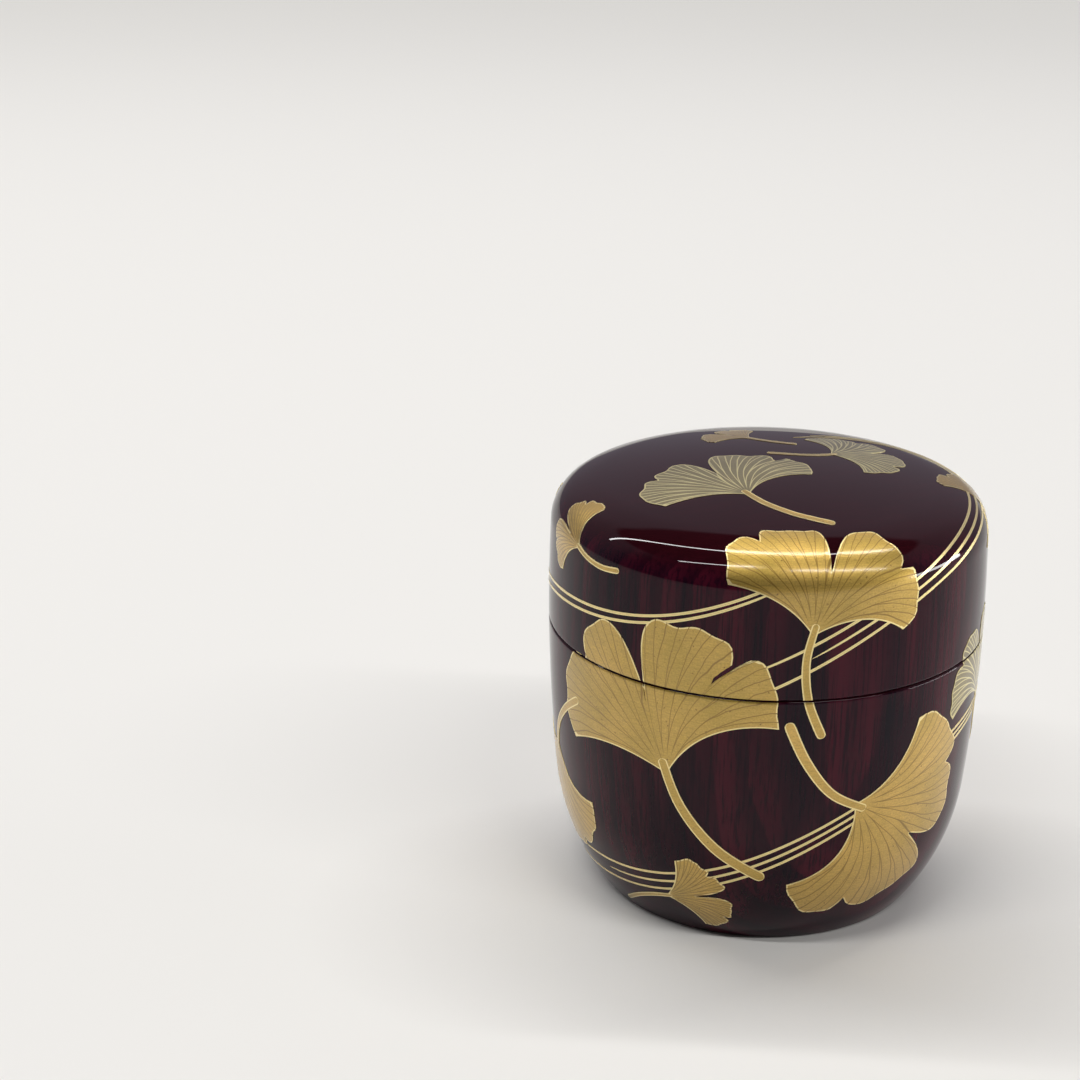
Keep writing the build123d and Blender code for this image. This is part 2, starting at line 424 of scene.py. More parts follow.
# The colour of stain and lacquer together on the sides, by how dark the wood is under them. The crown is end
# grain, which drinks more stain, and it is also painted shade: by how far the surface faces up, it is painted
# a deeper, darker red that shows no streaks.
# The violet cast in these colours is a painted reflection of a cool surround; the wine red under it is the
# lacquer's own.
side_wine_and_sheen_codes = {0.0: "4D1122", 0.5: "280716", 1.0: "0F0512"}
crown_stain_and_shade_code = "26060B"
middle_from_pith = (34.0, -62.0, 0.0)  # mm, from the centre of the rings
ring_spacing = 2.6  # mm
ring_wander = 3.0  # mm that a ring strays from its circle
ring_wander_size = 20.0  # mm
along_share = 0.35  # how fast the rings change along the fibres, as a share of across them
late_from, late_full, late_end = 0.25, 0.90, 0.92  # share of a ring where its dark wood begins, fills, ends
plain_dark, ring_dark = 0.18, 0.26  # how dark the wood is, and how much its rings add
# Streaks along the fibres: width and length in mm, scale, detail and roughness of their noise, its heights
# where they begin and are full, and how much they add
streaks = {
    "heartwood": (6.0, 60.0, 0.7, 2.0, 0.5, 0.36, 0.64, 0.34),
    "pores": (0.30, 9.0, 0.6, 3.0, 0.6, 0.46, 0.68, 0.36),
}
crown_from, crown_full = 0.25, 0.85  # upward part of the surface's direction where the crown's red begins
crown_share = 0.92  # how much of the crown is that red
gloss_wave = 8.0  # mm from one to the next of the slight waves that hand polishing leaves
gloss_wave_height = 0.004 * mm


def from_upright(tree, place):
    """The distance of a place from the upright axis."""
    level = add_node(tree, "ShaderNodeVectorMath", "MULTIPLY", {0: place, 1: (1.0, 1.0, 0.0)})
    return add_node(tree, "ShaderNodeVectorMath", "LENGTH", {0: level})


wine_material, tree = new_material("wine_lacquer_over_wood")
place = add_node(tree, "ShaderNodeTexCoord")
in_mm = add_node(
    tree,
    "ShaderNodeMapping",
    inputs={"Vector": place.outputs["Object"], "Location": middle_from_pith, "Scale": (1000, 1000, 1000)},
)
along_fibre = add_node(tree, "ShaderNodeVectorMath", "MULTIPLY", {0: in_mm, 1: (1.0, 1.0, along_share)})
wander = add_node(tree, "ShaderNodeTexNoise", inputs={"Vector": along_fibre, "Scale": 1 / ring_wander_size})
from_pith = from_upright(tree, in_mm)
strayed = add_node(tree, "ShaderNodeMath", "MULTIPLY_ADD", {0: wander, 1: ring_wander * 2, 2: from_pith})
rings = add_node(tree, "ShaderNodeMath", "DIVIDE", {0: strayed, 1: ring_spacing})
in_ring = add_node(tree, "ShaderNodeMath", "FRACT", {0: rings})
darkening = add_node(
    tree, "ShaderNodeMapRange", smooth_step, {"Value": in_ring, "From Min": late_from, "From Max": late_full}
)
ending = add_node(
    tree,
    "ShaderNodeMapRange",
    smooth_step,
    {"Value": in_ring, "From Min": late_end, "From Max": 1.0, "To Min": 1.0, "To Max": 0.0},
)
late_wood = add_node(tree, "ShaderNodeMath", "MULTIPLY", {0: darkening, 1: ending})
dark = add_node(tree, "ShaderNodeMath", "MULTIPLY_ADD", {0: late_wood, 1: ring_dark, 2: plain_dark})
for width, length, scale, detail, roughness, begin, full, added_dark in streaks.values():
    stretched = add_node(
        tree, "ShaderNodeVectorMath", "MULTIPLY", {0: in_mm, 1: (1 / width, 1 / width, 1 / length)}
    )
    streak = add_node(
        tree,
        "ShaderNodeTexNoise",
        inputs={"Vector": stretched, "Scale": scale, "Detail": detail, "Roughness": roughness},
    )
    share = add_node(
        tree, "ShaderNodeMapRange", smooth_step, {"Value": streak, "From Min": begin, "From Max": full}
    )
    dark = add_node(tree, "ShaderNodeMath", "MULTIPLY_ADD", {0: share, 1: added_dark, 2: dark})
side_wine = add_node(tree, "ShaderNodeValToRGB", inputs={"Fac": dark})
fill_ramp(side_wine, {place: colour(code) for place, code in side_wine_and_sheen_codes.items()})
facing = add_node(tree, "ShaderNodeSeparateXYZ", inputs={"Vector": place.outputs["Normal"]})
# Painted shade: faces that point up are mixed towards the deeper, even crown red.
end_grain_and_painted_shade = add_node(
    tree,
    "ShaderNodeMapRange",
    smooth_step,
    {"Value": facing.outputs["Z"], "From Min": crown_from, "From Max": crown_full, "To Max": crown_share},
)
wine = add_node(
    tree, "ShaderNodeMix", in_colour, {"Factor": end_grain_and_painted_shade, "A": side_wine, "B": colour(crown_stain_and_shade_code)}
)
waves = add_node(tree, "ShaderNodeTexNoise", inputs={"Vector": in_mm, "Scale": 1 / gloss_wave, "Detail": 1.0})
waved = add_node(tree, "ShaderNodeBump", inputs={"Distance": gloss_wave_height, "Height": waves})
under_gloss = {"Base Color": wine, "Roughness": 0.5, "Specular IOR Level": 0.0}
gloss = {"Coat Weight": 1.0, "Coat Roughness": 0.02, "Coat IOR": 1.27, "Coat Normal": waved}
shader = add_node(tree, "ShaderNodeBsdfPrincipled", inputs={**under_gloss, **gloss})
add_node(tree, "ShaderNodeOutputMaterial", inputs={"Surface": shader})

lid_mouth = (
    [(lid_bore + lid_lead_in, seam_height)]
    + arc((lid_bore + lid_lead_in, seam_height + lid_lead_in), lid_lead_in, -math.pi / 2, -math.pi)
    + [(lid_bore, seam_height + outer_coat)]
)
lid_loop = without_doubles(lid_outside(0) + lid_mouth + lid_outside(outer_coat)[::-1])
seat = [(standing_rim_outer, seam_height - outer_coat), (standing_rim_outer, seam_height)]
foot_step = [(foot_radius, 0), (foot_radius, outer_coat)]
body_loop = without_doubles(seat + body_outside(0) + foot_step + body_outside(outer_coat)[::-1] + seat[:1])
for name, loop in {"lid": lid_loop, "body": body_loop}.items():
    coat = outline_object(f"{name}_polished_coat", loop)
    apply_nodes(coat, lathe, {"Sides": turned_sides, "Material": wine_material})
    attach(coat, name)
    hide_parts(f"{name}_outer_lacquer")


# The picture: ginkgo leaves that the wind carries round the caddy from lid to body. Each is drawn in lacquer
# and strewn with gold or pewter powder while the lacquer is wet, so it stands a hair above the ground. What
# crosses the seam is cut there, half on each piece.
sink = 0.05 * mm  # how far the drawing reaches under the polished surface
leaf_rise = 0.07 * mm
line_rise = 0.045 * mm
stalk_rise = 0.012 * mm  # above its leaf
leaf_middle = 0.52  # how far out a leaf's middle is, which it is placed by, as a share of its reach
leaf_start = 0.04  # how far out its first row is, so that it has no point under its stalk
leaf_opening = 0.62  # how wide it opens at its stalk, as a share of its spread
leaf_sway = 0.10  # radians that its margin leans aside at most
stalk_share, least_stalk = 0.062, 0.75 * mm  # its width, over the leaf's reach and at least
stalk_swell = 1.25  # its width at the end over its width at the leaf
tone_step, wave_step = 0.618, 1.7  # how a leaf's tone and margin change with its seed
least_down = 2 * mm  # how near the crown's middle a leaf of the sides may come
brush_step = 0.7 * mm  # from one point of a stroke to the next
tip_width = 0.04  # share of its width that a stroke keeps at its very end


def running_length(points):
    """The distance along a line to each of its points."""
    return np.concatenate([[0.0], np.cumsum(np.linalg.norm(np.diff(points, axis=0), axis=1))])


lid_form, body_form = lid_outside(0), body_outside(0)
lid_lengths, body_lengths = running_length(lid_form), running_length(body_form)
bend_ratio = math.pi / 2
rim_bend = bend_ratio * rim_edge_radius  # about the length of a rim's rounded edge
# Along the drawing, the seam is where the rounded edges would meet if they were sharp
seam_down = lid_lengths[-1] - rim_bend + rim_edge_radius


def radius_at(down):
    """The radius of the form at a distance down from the crown, measured along the outline."""
    if down < seam_down:
        points, lengths, want = lid_form, lid_lengths, down
    else:
        points, lengths, want = body_form, body_lengths, down - seam_down + rim_bend - rim_edge_radius
    return np.interp(want, lengths, [r for r, z in points])


class Drawing:
    """Shapes laid out flat, before they are wrapped on the form: x is the turn times the widest radius, and
    -y is the distance down from the crown."""

    def __init__(self):
        self.points, self.faces, self.notes = [], [], []

    def add(self, rows, notes, shared):
        """Adds rows of points, joined into squares. Each point keeps its own notes and the shared ones."""
        first, width = len(self.points), len(rows[0])
        for row, row_notes in zip(rows, notes):
            self.points.extend(row)
            self.notes.extend((*note, *shared) for note in row_notes)
        for i in range(len(rows) - 1):
            for j in range(width - 1):
                k = first + i * width + j
                self.faces.append((k, k + 1, k + width + 1, k + width))


def fan_leaf(reach, spread, cleft, wave, columns=96, rows=22):
    """A ginkgo leaf, halved by a cleft: rows of points from the stalk out to the margin, with notes of where
    each lies in the leaf."""
    points, places = [], []
    middle = leaf_middle * reach
    # The margin: height, pace and start of its waves, then depth, place, width and squareness of its notches
    waves = ((0.016, 9.0, wave), (0.014, 19.0, 2.3 * wave), (0.009, 37.0, 1.7 * wave))
    notches = (
        (cleft, -0.02 * math.sin(wave), 0.055, 1.25),
        (0.13, 0.52 + 0.06 * math.sin(wave), 0.03, 1.3),
        (0.10, -0.47 - 0.05 * math.cos(wave), 0.03, 1.3),
    )
    for i in range(rows + 1):
        v = leaf_start + (1 - leaf_start) * i / rows
        row, row_places = [], []
        for j in range(columns + 1):
            u = -1 + 2 * j / columns
            # Columns crowd towards the cleft, where the margin turns sharply
            u = 0.6 * u + 0.4 * u**3
            # The margin is drawn in towards the two corners
            margin = 1.0 - 0.10 * u * u - 0.13 * abs(u) ** 7
            for height, pace, start in waves:
                margin += height * math.sin(pace * u + start)
            for depth, place, width, squareness in notches:
                margin -= depth * math.exp(-((abs(u - place) / width) ** squareness))
            opening = spread * (leaf_opening + (1 - leaf_opening) * v**1.2)
            angle = u * opening + leaf_sway * math.sin(wave) * v * v
            out = reach * margin * v
            row.append((out * math.sin(angle), out * math.cos(angle) - middle))
            row_places.append((u, v, reach * margin))
        points.append(row)
        places.append(row_places)

    # How far each point lies from the nearest stretch of the leaf's outline
    outline = np.array([row[0] for row in points] + points[-1][1:-1] + [row[-1] for row in points[::-1]])
    starts, runs = outline[:-1], np.diff(outline, axis=0)
    spots = np.array(points)[:, :, None, :]
    shares = ((spots - starts) * runs).sum(axis=3) / (runs * runs).sum(axis=1)
    nearest = starts + np.clip(shares, 0, 1)[..., None] * runs
    edges = np.linalg.norm(spots - nearest, axis=3).min(axis=2)
    notes = [
        [(*place, float(edge)) for place, edge in zip(row_places, row_edges)]
        for row_places, row_edges in zip(places, edges)
    ]
    return points, notes


def smooth_path(knots, step):
    """A smooth curve through the knots, as points about one step apart."""
    path = []
    padded = np.array([knots[0], *knots, knots[-1]])
    for a, b, c, d in zip(padded, padded[1:], padded[2:], padded[3:]):
        pieces = max(int(math.dist(b, c) / step), 1)
        for i in range(pieces):
            t = i / pieces
            bend = (2 * a - 5 * b + 4 * c - d) * t * t
            twist = (3 * b - a - 3 * c + d) * t**3
            path.append(0.5 * (2 * b + (c - a) * t + bend + twist))
    return np.array([*path, padded[-1]])


def brush_line(knots, width, end_width, tips):
    """A stroke of the brush through the knots, in rows of three points, from one width to another. It narrows
    to a round point at each end, over the two given lengths."""
    path = smooth_path(knots, brush_step)
    gone = running_length(path)
    closer = np.array([0.0, 0.04, 0.14, 0.30, 0.55])  # extra points, as shares of a tip
    places = np.concatenate([closer * tips[0], gone, gone[-1] - closer * tips[1]])
    places = np.unique(np.round(places, 9))
    steps = np.stack([np.interp(places, gone, path[:, k]) for k in range(2)], axis=1)
    alongs = np.gradient(steps, places, axis=0)
    alongs /= np.linalg.norm(alongs, axis=1, keepdims=True)
    rows, notes = [], []
    for (x, y), (along_x, along_y), place in zip(steps, alongs, places):
        tip = min(1.0, place / tips[0], (gone[-1] - place) / tips[1])
        full = width + (end_width - width) * place / gone[-1]
        half = 0.5 * full * max(math.sqrt(max(tip * (2 - tip), 0.0)), tip_width)
        side = (-along_y * half, along_x * half)
        rows.append([(x + side[0], y + side[1]), (x, y), (x - side[0], y - side[1])])
        notes.append([(0.0, 0.0, 0.0, edge) for edge in (0.0, half, 0.0)])
    return rows, notes


drawings = {"gold": Drawing(), "pewter": Drawing()}


def add_leaf(metal, where, lean_degrees, reach_mm, look, seed, on_crown):
    """Adds a leaf and its stalk. Its place is x and y on the crown in mm, or else its turn in degrees and its
    distance down in mm."""
    lean, reach = math.radians(lean_degrees), reach_mm * mm
    spread, cleft, stalk_bend, stalk_length = leaf_looks[look]

    def put(point):
        """Where a point of the leaf goes in the drawing. The crown is drawn as it is seen from above."""
        x, y = point
        across, above = x * math.cos(lean) - y * math.sin(lean), x * math.sin(lean) + y * math.cos(lean)
        if on_crown:
            return (where[0] * mm + across, where[1] * mm + above, 0.0)
        down = max(where[1] * mm - above, least_down)
        turn = math.radians(where[0]) + across / radius_at(down)
        return (turn * widest_radius, -down, 0.0)

    shared = ((seed * tone_step) % 1.0, float(on_crown))
    points, notes = fan_leaf(reach, math.radians(spread), cleft, seed * wave_step)
    drawings[metal].add([[put(p) for p in row] for row in points], notes, (*shared, leaf_rise))
    # The stalk begins inside the leaf's base and bends aside on its way out
    length = reach * stalk_length
    base = -leaf_middle * reach
    knots = [
        (0, base + 0.10 * reach),
        (0.01 * reach, base - 0.25 * length),
        (stalk_bend * 0.28 * length, base - 0.62 * length),
        (stalk_bend * 0.75 * length, base - 0.95 * length),
    ]
    width = max(stalk_share * reach, least_stalk)
    rows, notes = brush_line(knots, width, width * stalk_swell, (0.35 * width, 0.6 * width))
    drawings["gold"].add([[put(p) for p in row] for row in rows], notes, (*shared, leaf_rise + stalk_rise))


# Half the spread in degrees, depth of the cleft, bend of the stalk, and its length over the leaf's reach
leaf_looks = {
    "open": (76, 0.50, 0.5, 0.85),
    "wide": (86, 0.38, -0.45, 0.85),
    "narrow": (60, 0.55, 0.35, 1.0),
    "split": (80, 0.60, -0.6, 0.85),
}
# Metal, place, lean, reach in mm, look and seed of each leaf
crown_leaves = [
    ("pewter", (-8.0, -6.0), 36, 17.0, "open", 1),
    ("pewter", (14.5, 9.5), -62, 11.5, "wide", 2),
    ("gold", (-6.5, 17.0), 52, 8.0, "narrow", 3),
]
side_leaves = [
    ("gold", (-74, 33.0), -14, 18.5, "open", 4),
    ("gold", (-121, 54.0), 20, 24.5, "open", 5),
    ("gold", (-153, 34.0), 70, 9.5, "narrow", 6),
    ("gold", (-48, 75.5), -122, 21.0, "wide", 8),
    ("gold", (-106, 87.0), -72, 10.5, "narrow", 9),
    ("pewter", (-14, 54.0), 8, 14.0, "open", 10),
    ("gold", (-167, 79.0), 158, 17.0, "wide", 11),
    ("gold", (62, 53.0), 26, 21.0, "wide", 12),
    ("gold", (108, 80.0), 135, 14.5, "open", 13),
    ("pewter", (126, 44.0), -40, 14.0, "split", 14),
    ("gold", (166, 55.0), 158, 15.0, "narrow", 15),
    ("gold", (8, 32.0), -75, 9.0, "open", 16),
    ("pewter", (24, 79.0), 66, 11.0, "narrow", 17),
]
for leaf in crown_leaves:
    add_leaf(*leaf, on_crown=True)
for leaf in side_leaves:
    add_leaf(*leaf, on_crown=False)

# The wind: long thin strokes side by side, which run down and leftwards round the caddy and part as they go.
# Each group has its first turn and the turn that it runs through in degrees, how far down it starts in mm,
# and its number of strokes.
wind_width = 0.42 * mm
wind_tips = (9.0 * mm, 14.0 * mm)
wind_fall = 0.17  # mm down for each degree of turn
wind_swell = 3.2  # mm that the strokes sway up and down
wind_swell_turn = 150  # degrees from one sway to the next
wind_gap = 2.1  # mm between strokes where they have parted
wind_first_gap = 0.35  # share of that gap where they start
wind_steps = 40
wind_late = 6  # degrees that a stroke starts after its neighbour
wind_short = 17  # degrees that a stroke ends before its neighbour
wind_groups = [(78, 190, 17.0, 3), (0, 172, 61.0, 3), (-74, 196, 31.0, 2), (172, 150, 64.0, 3)]
for first_turn, run, start_down, strands in wind_groups:
    for strand in range(strands):
        begin = wind_late * ((2 * strand) % 3)
        end = run - wind_short * ((strand + 1) % 3)
        flat = []
        for i in range(wind_steps + 1):
            gone = begin + (end - begin) * i / wind_steps
            swell = wind_swell * math.sin(math.tau * (first_turn - gone) / wind_swell_turn)
            parted = strand * wind_gap * (wind_first_gap + (1 - wind_first_gap) * gone / run)
            down = start_down + wind_fall * gone + swell + parted
            flat.append((math.radians(first_turn - gone) * widest_radius, -down * mm))
        rows, notes = brush_line(flat, wind_width, wind_width, wind_tips)
        for row in rows:
            middle_x, middle_y = row[1]
            stretch = widest_radius / radius_at(-middle_y)
            for k in (0, 2):
                row[k] = (middle_x + (row[k][0] - middle_x) * stretch, row[k][1])
        drawings["gold"].add([[(*p, 0.0) for p in row] for row in rows], notes, (0.5, 0.0, line_rise))


# The wrapping: the flat drawing gets its thickness, then each point goes to its turn and its distance down
# the form. Marks on the crown are laid on it from above instead.
wrap, given = new_tree("wrap_on_form", {"Form": "Object", "Sink": "Float", "Widest Radius": "Float"})
flat_drawing = given.outputs["Geometry"]
rise_note = add_node(wrap, "GeometryNodeInputNamedAttribute", inputs={"Name": "rise"})
thickness = add_node(wrap, "ShaderNodeMath", "ADD", {0: rise_note, 1: given.outputs["Sink"]})
raised = add_node(
    wrap,
    "GeometryNodeExtrudeMesh",
    inputs={"Mesh": flat_drawing, "Offset": (0, 0, 1), "Offset Scale": thickness, "Individual": False},
)
underside = add_node(wrap, "GeometryNodeFlipFaces", inputs={"Mesh": flat_drawing})
both = add_node(wrap, "GeometryNodeJoinGeometry", inputs={"Geometry": raised})
wrap.links.new(underside.outputs[0], both.inputs["Geometry"])
closed = add_node(wrap, "GeometryNodeMergeByDistance", inputs={"Geometry": both, "Distance": 1e-7})
position = add_node(wrap, "GeometryNodeInputPosition")
flat = add_node(wrap, "ShaderNodeSeparateXYZ", inputs={"Vector": position})
crown_note = add_node(wrap, "GeometryNodeInputNamedAttribute", inputs={"Name": "on_crown"})
on_crown = add_node(wrap, "FunctionNodeCompare", "GREATER_THAN", {0: crown_note, 1: 0.5})
from_axis = from_upright(wrap, position)
below_crown = add_node(wrap, "ShaderNodeMath", "MULTIPLY", {0: flat.outputs["Y"], 1: -1.0})
unrolled_turn = add_node(
    wrap, "ShaderNodeMath", "DIVIDE", {0: flat.outputs["X"], 1: given.outputs["Widest Radius"]}
)
crown_turn = add_node(wrap, "ShaderNodeMath", "ARCTAN2", {0: flat.outputs["Y"], 1: flat.outputs["X"]})
chosen = []
for on_side, from_above in ((below_crown, from_axis), (unrolled_turn, crown_turn)):
    choice = {"Switch": on_crown, "False": on_side, "True": from_above}
    chosen.append(add_node(wrap, "GeometryNodeSwitch", {"input_type": "FLOAT"}, choice))
down, turn = chosen
form = add_node(wrap, "GeometryNodeObjectInfo", inputs={"Object": given.outputs["Form"]})
form_line = add_node(wrap, "GeometryNodeMeshToCurve", inputs={"Mesh": form.outputs["Geometry"]})
spot = add_node(
    wrap,
    "GeometryNodeSampleCurve",
    {"mode": "LENGTH", "use_all_curves": True},
    {"Curves": form_line, "Length": down},
)
slope = add_node(wrap, "ShaderNodeSeparateXYZ", inputs={"Vector": spot.outputs["Tangent"]})
outwards = add_node(wrap, "ShaderNodeMath", "MULTIPLY", {0: slope.outputs["Z"], 1: -1.0})
normal = add_node(wrap, "ShaderNodeCombineXYZ", inputs={"X": outwards, "Z": slope.outputs["X"]})
above = add_node(wrap, "ShaderNodeMath", "SUBTRACT", {0: flat.outputs["Z"], 1: given.outputs["Sink"]})
lifted = add_node(wrap, "ShaderNodeVectorMath", "SCALE", {0: normal, "Scale": above})
on_form = add_node(wrap, "ShaderNodeVectorMath", "ADD", {0: spot.outputs["Position"], 1: lifted})
swung = add_node(
    wrap, "ShaderNodeVectorRotate", {"rotation_type": "Z_AXIS"}, {"Vector": on_form, "Angle": turn}
)
wrapped = add_node(wrap, "GeometryNodeSetPosition", inputs={"Geometry": closed, "Position": swung})
end_tree(wrap, given, wrapped, sharp_angle=math.radians(50))


# Gold powder: fine filings strewn on wet lacquer, fixed with a thin clear coat and rubbed down. It is a metal
# but not a mirror, because each grain faces its own way, and the coat over it adds a soft white gleam.
# The veins are scratched into it, and its edges are rubbed bright. Pewter powder is greyer and duller, with
# veins and edges drawn over it in pale gold.
powders = {
    "gold": {"ground": "D5AF5F", "dull": "AF9445", "edge": "F3E0A0", "vein": "96783C", "roughness": 0.40},
    "pewter": {"ground": "9A8E66", "dull": "786D4B", "edge": "D4C892", "vein": "D4C892", "roughness": 0.50},
}
# Stems that a leaf's veins begin as, half the width of a vein, and its height as a share of the relief
powder_veins = {"gold": (9, 0.04 * mm, -0.6), "pewter": (10, 0.05 * mm, 0.8)}
edge_band = 0.16 * mm  # how far in from its edge a leaf is rubbed bright
line_blur = 0.07 * mm
grain_size = 0.28  # mm, drawn coarser than the real filings so that they show
worn_spot = 0.55  # mm, where the powder is rubbed thin and the lacquer shows through
worn_code = "7A5A30"
cloud_size = 9.0  # mm from one thicker patch of powder to the next
rub_length, rub_width = 2.2, 0.2  # mm, of the marks of rubbing round the form
vein_wander = 0.035  # share of half a leaf that a vein strays
vein_forks = ((0.12, 0.60, 0.25), (0.45, 1.0, 0.125))  # way out where each begins and ends, how far it parts
fan_opening = math.radians(76)  # half the spread of a usual leaf
veins_from, veins_full = 0.10, 0.20  # way out from the stalk over which the veins appear
worn_from, worn_full, worn_share = 0.66, 0.80, 0.8  # height of its noise, and how much powder is lost there
tone_base, tone_share, cloud_share = -0.35, 0.30, 1.3  # of how thick the powder lies
least_light, rub_light, grain_light = 0.45, 0.5, 0.6  # of how bright it is
edge_rise, grain_rise = 0.6, 0.35  # heights of the relief, as shares of its depth
relief_depth = 0.03 * mm
rub_roughness = 0.14


def vein_distance(tree, u, v, reach, stems):
    """The distance in metres from the nearest vein. Each stem forks twice on its way to the margin."""
    cells = add_node(tree, "ShaderNodeMath", "MULTIPLY_ADD", {0: u, 1: stems / 2, 2: stems / 2})
    in_cell = add_node(tree, "ShaderNodeMath", "FRACT", {0: cells})
    aside = add_node(tree, "ShaderNodeMath", "SUBTRACT", {0: in_cell, 1: 0.5})
    from_vein = add_node(tree, "ShaderNodeMath", "ABSOLUTE", {0: aside})
    for begin, end, parting in vein_forks:
        fork = add_node(
            tree,
            "ShaderNodeMapRange",
            smooth_step,
            {"Value": v, "From Min": begin, "From Max": end, "To Max": parting},
        )
        aside = add_node(tree, "ShaderNodeMath", "SUBTRACT", {0: from_vein, 1: fork})
        from_vein = add_node(tree, "ShaderNodeMath", "ABSOLUTE", {0: aside})
    out = add_node(tree, "ShaderNodeMath", "MULTIPLY", {0: v, 1: reach})
    cell_width = add_node(tree, "ShaderNodeMath", "MULTIPLY", {0: out, 1: 2 * fan_opening / stems})
    return add_node(tree, "ShaderNodeMath", "MULTIPLY", {0: from_vein, 1: cell_width})


def strewn_powder(metal):
    """A metal powder with the veins and edges of the leaves drawn in it."""
    material, tree = new_material(f"strewn_{metal}_powder")
    look, (stems, vein_half, vein_rise) = powders[metal], powder_veins[metal]
    leaf_notes = {"leaf_place": "Vector", "leaf_edge": "Fac", "leaf_tone": "Fac", "drawn_mm": "Vector"}
    place, edge, tone, drawn = (
        add_node(tree, "ShaderNodeAttribute", {"attribute_name": note}).outputs[output]
        for note, output in leaf_notes.items()
    )
    u, v, reach = add_node(tree, "ShaderNodeSeparateXYZ", inputs={"Vector": place}).outputs
    noises = []
    for size, detail in ((cloud_size, 3.0), (grain_size, 2.0), (worn_spot, 1.0)):
        settings = {"Vector": drawn, "Scale": 1 / size, "Detail": detail}
        noises.append(add_node(tree, "ShaderNodeTexNoise", inputs=settings))
    clouds, grains, wear = noises
    rub_space = add_node(
        tree, "ShaderNodeVectorMath", "MULTIPLY", {0: drawn, 1: (1 / rub_length, 1 / rub_width, 1.0)}
    )
    rubs = add_node(tree, "ShaderNodeTexNoise", inputs={"Vector": rub_space, "Scale": 1.0})
    worn = add_node(
        tree,
        "ShaderNodeMapRange",
        smooth_step,
        {"Value": wear, "From Min": worn_from, "From Max": worn_full, "To Max": worn_share},
    )

    # Veins, which stray a little from their even fan, and fade out near the stalk
    stray = add_node(tree, "ShaderNodeMath", "MULTIPLY_ADD", {0: clouds, 1: 2 * vein_wander, 2: -vein_wander})
    strayed = add_node(tree, "ShaderNodeMath", "ADD", {0: u, 1: stray})
    vein = vein_distance(tree, strayed, v, reach, stems)
    lines = []
    for away, half in ((vein, vein_half), (edge, edge_band)):
        fade = {"Value": away, "From Min": half, "From Max": half + line_blur, "To Min": 1.0, "To Max": 0.0}
        lines.append(add_node(tree, "ShaderNodeMapRange", smooth_step, fade))
    near_vein, is_edge = lines
    past_stalk = add_node(
        tree, "ShaderNodeMapRange", smooth_step, {"Value": v, "From Min": veins_from, "From Max": veins_full}
    )
    is_vein = add_node(tree, "ShaderNodeMath", "MULTIPLY", {0: near_vein, 1: past_stalk})

    # The powder lies thicker in some patches than in others, and each leaf has its own tone
    leaf_tone = add_node(tree, "ShaderNodeMath", "MULTIPLY_ADD", {0: tone, 1: tone_share, 2: tone_base})
    thickness = add_node(tree, "ShaderNodeMath", "MULTIPLY_ADD", {0: clouds, 1: cloud_share, 2: leaf_tone})
    ground = add_node(
        tree,
        "ShaderNodeMix",
        in_colour,
        {"Factor": thickness, "A": colour(look["dull"]), "B": colour(look["ground"])},
    )
    rubbed = add_node(tree, "ShaderNodeMath", "MULTIPLY_ADD", {0: rubs, 1: rub_light, 2: least_light})
    speckle = add_node(tree, "ShaderNodeMath", "MULTIPLY_ADD", {0: grains, 1: grain_light, 2: rubbed})
    strewn = add_node(tree, "ShaderNodeVectorMath", "SCALE", {0: ground, "Scale": speckle})
    for share, code in ((worn, worn_code), (is_edge, look["edge"]), (is_vein, look["vein"])):
        strewn = add_node(tree, "ShaderNodeMix", in_colour, {"Factor": share, "A": strewn, "B": colour(code)})

    height = 0.0
    for share, rise in ((is_vein, vein_rise), (is_edge, edge_rise), (grains, grain_rise)):
        height = add_node(tree, "ShaderNodeMath", "MULTIPLY_ADD", {0: share, 1: rise, 2: height})
    bump = add_node(
        tree, "ShaderNodeBump", inputs={"Strength": 0.5, "Distance": relief_depth, "Height": height}
    )
    roughness = add_node(
        tree, "ShaderNodeMath", "MULTIPLY_ADD", {0: rubs, 1: rub_roughness, 2: look["roughness"]}
    )
    filings = {"Base Color": strewn, "Metallic": 1.0, "Roughness": roughness, "Normal": bump}
    gloss = {"Coat Weight": 0.9, "Coat Roughness": 0.17}
    shader = add_node(tree, "ShaderNodeBsdfPrincipled", inputs={**filings, **gloss})
    add_node(tree, "ShaderNodeOutputMaterial", inputs={"Surface": shader})
    return material


# Each drawing is cut along the seam, and its lid half and body half are wrapped on their own forms.
foot_margin = 1.2 * mm  # left bare above the foot
lowest_drawn = seam_down + body_lengths[-1] - rim_bend + rim_edge_radius - foot_margin
forms = {"lid": outline_object("lid_form", lid_form), "body": outline_object("body_form", body_form)}
bare_rim = 0.3 * mm  # the powder stops this far short of the seam, where it would rub off
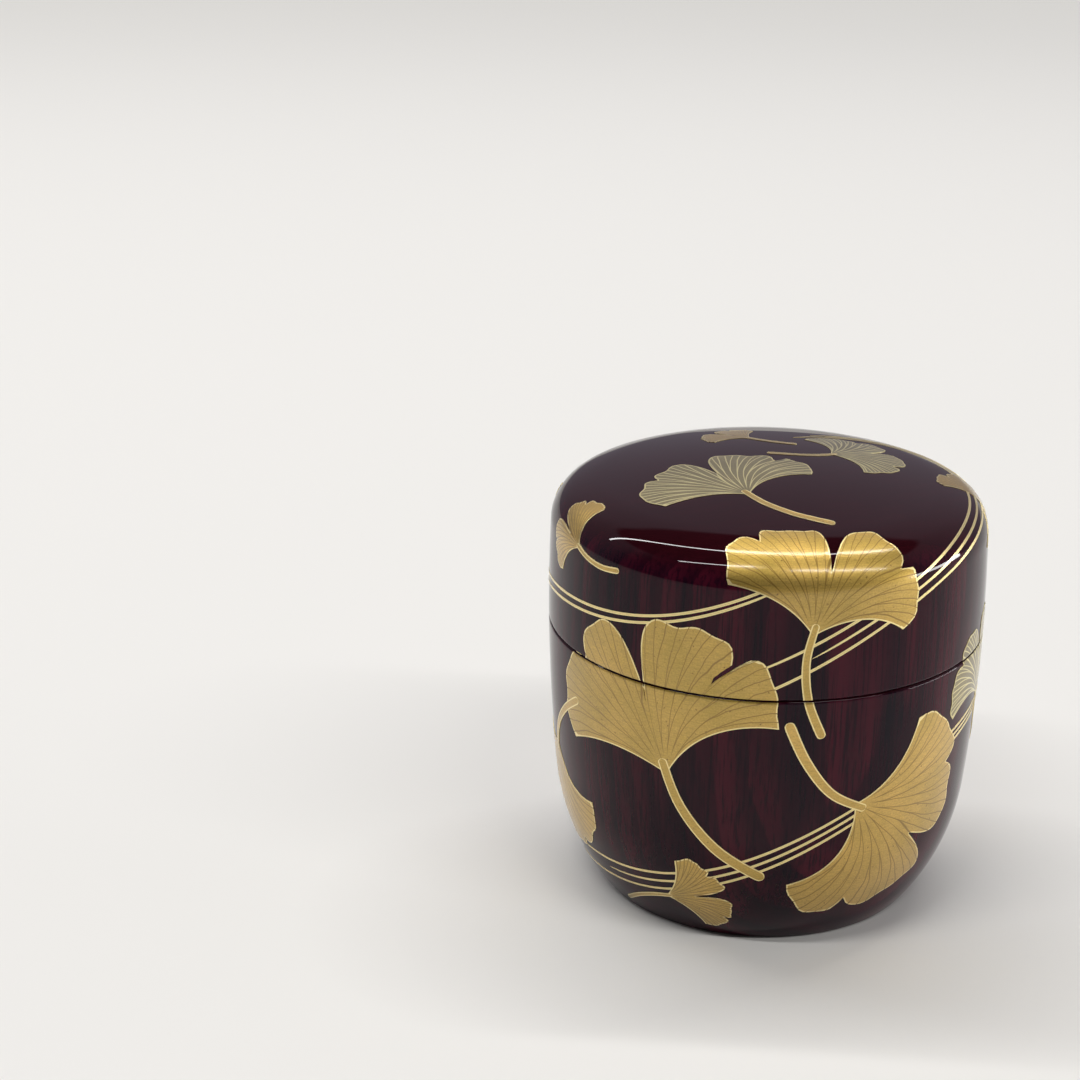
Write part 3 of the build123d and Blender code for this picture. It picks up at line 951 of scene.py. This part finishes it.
# Cuts round the rims, close enough for the marks to bend with the rounded edges
rim_cuts = [seam_down + rim_edge_radius * share / 4 for share in range(-4, 5) if share]
rim_cuts += [seam_down - bare_rim, seam_down + bare_rim]
for metal, drawing in drawings.items():
    powder = strewn_powder(metal)
    for half, form in forms.items():
        sketch = bmesh.new()
        kinds = sketch.verts.layers
        leaf_place = kinds.float_vector.new("leaf_place")
        numbers = [kinds.float.new(note) for note in ("leaf_edge", "leaf_tone", "on_crown", "rise")]
        drawn_mm = kinds.float_vector.new("drawn_mm")
        for point, notes in zip(drawing.points, drawing.notes):
            vertex = sketch.verts.new(point)
            vertex[leaf_place] = notes[:3]
            vertex[drawn_mm] = (point[0] / mm, point[1] / mm, 0)
            for number, note in zip(numbers, notes[3:]):
                vertex[number] = note
        sketch.verts.ensure_lookup_table()
        for face in drawing.faces:
            sketch.faces.new([sketch.verts[k] for k in face])
        for down in (*rim_cuts, lowest_drawn):
            whole = [*sketch.verts, *sketch.edges, *sketch.faces]
            bmesh.ops.bisect_plane(
                sketch, geom=whole, dist=1e-8, plane_co=(0, -down, 0), plane_no=(0, 1, 0)
            )
        unwanted = []
        for face in sketch.faces:
            down = -face.calc_center_median().y
            in_other_half = (down < seam_down) != (half == "lid")
            if in_other_half or down > lowest_drawn or abs(down - seam_down) < bare_rim:
                unwanted.append(face)
        bmesh.ops.delete(sketch, geom=unwanted, context="FACES")
        # What lies on the rounded edge of a rim is spread along its arc
        rim_start = seam_down - rim_edge_radius
        for vertex in sketch.verts:
            down = -vertex.co.y
            if half == "body":
                down -= seam_down
                bent = down * bend_ratio if down < rim_edge_radius else down + rim_bend - rim_edge_radius
                vertex.co.y = -bent
            elif down > rim_start:
                vertex.co.y = -(rim_start + (down - rim_start) * bend_ratio)
        mesh = bpy.data.meshes.new(f"{metal}_leaves_{half}")
        sketch.to_mesh(mesh)
        sketch.free()
        leaves = add_object(f"{metal}_leaves_{half}", mesh)
        sizes = {"Form": form, "Sink": sink, "Widest Radius": widest_radius}
        apply_nodes(leaves, wrap, {**sizes, "Material": powder})
        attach(leaves, half)
for form in forms.values():
    bpy.data.objects.remove(form)


# The inside and the base: plain black lacquer, brushed on while the piece turned and polished a little less
# than the outside. It keeps faint rings from the brush, and its black is a little brown where it lies thin.
brush_ring = 1.1  # mm from one ring to the next
brush_ring_height = 0.003 * mm
thin_patch = 12.0  # mm
black_code, brown_code = "0A0908", "17100D"
black_material, tree = new_material("black_lacquer")
place = add_node(tree, "ShaderNodeTexCoord")
in_mm = add_node(tree, "ShaderNodeVectorMath", "SCALE", {0: place.outputs["Object"], "Scale": 1000.0})
patches = add_node(tree, "ShaderNodeTexNoise", inputs={"Vector": in_mm, "Scale": 1 / thin_patch})
black = add_node(
    tree, "ShaderNodeMix", in_colour, {"Factor": patches, "A": colour(black_code), "B": colour(brown_code)}
)
from_axis = from_upright(tree, in_mm)
height = add_node(tree, "ShaderNodeSeparateXYZ", inputs={"Vector": in_mm})
along_profile = add_node(tree, "ShaderNodeMath", "ADD", {0: from_axis, 1: height.outputs["Z"]})
ring_place = add_node(tree, "ShaderNodeMath", "DIVIDE", {0: along_profile, 1: brush_ring})
rings = add_node(
    tree, "ShaderNodeTexNoise", {"noise_dimensions": "1D"}, {"W": ring_place, "Scale": 1.0, "Detail": 1.0}
)
brushed = add_node(tree, "ShaderNodeBump", inputs={"Distance": brush_ring_height, "Height": rings})
gloss = {"Coat Weight": 1.0, "Coat Roughness": 0.05, "Coat Normal": brushed}
shader = add_node(tree, "ShaderNodeBsdfPrincipled", inputs={"Base Color": black, "Roughness": 0.4, **gloss})
add_node(tree, "ShaderNodeOutputMaterial", inputs={"Surface": shader})
cover(("body_inner_lacquer", "foot_lacquer", "lid_inner_lacquer"), black_material)
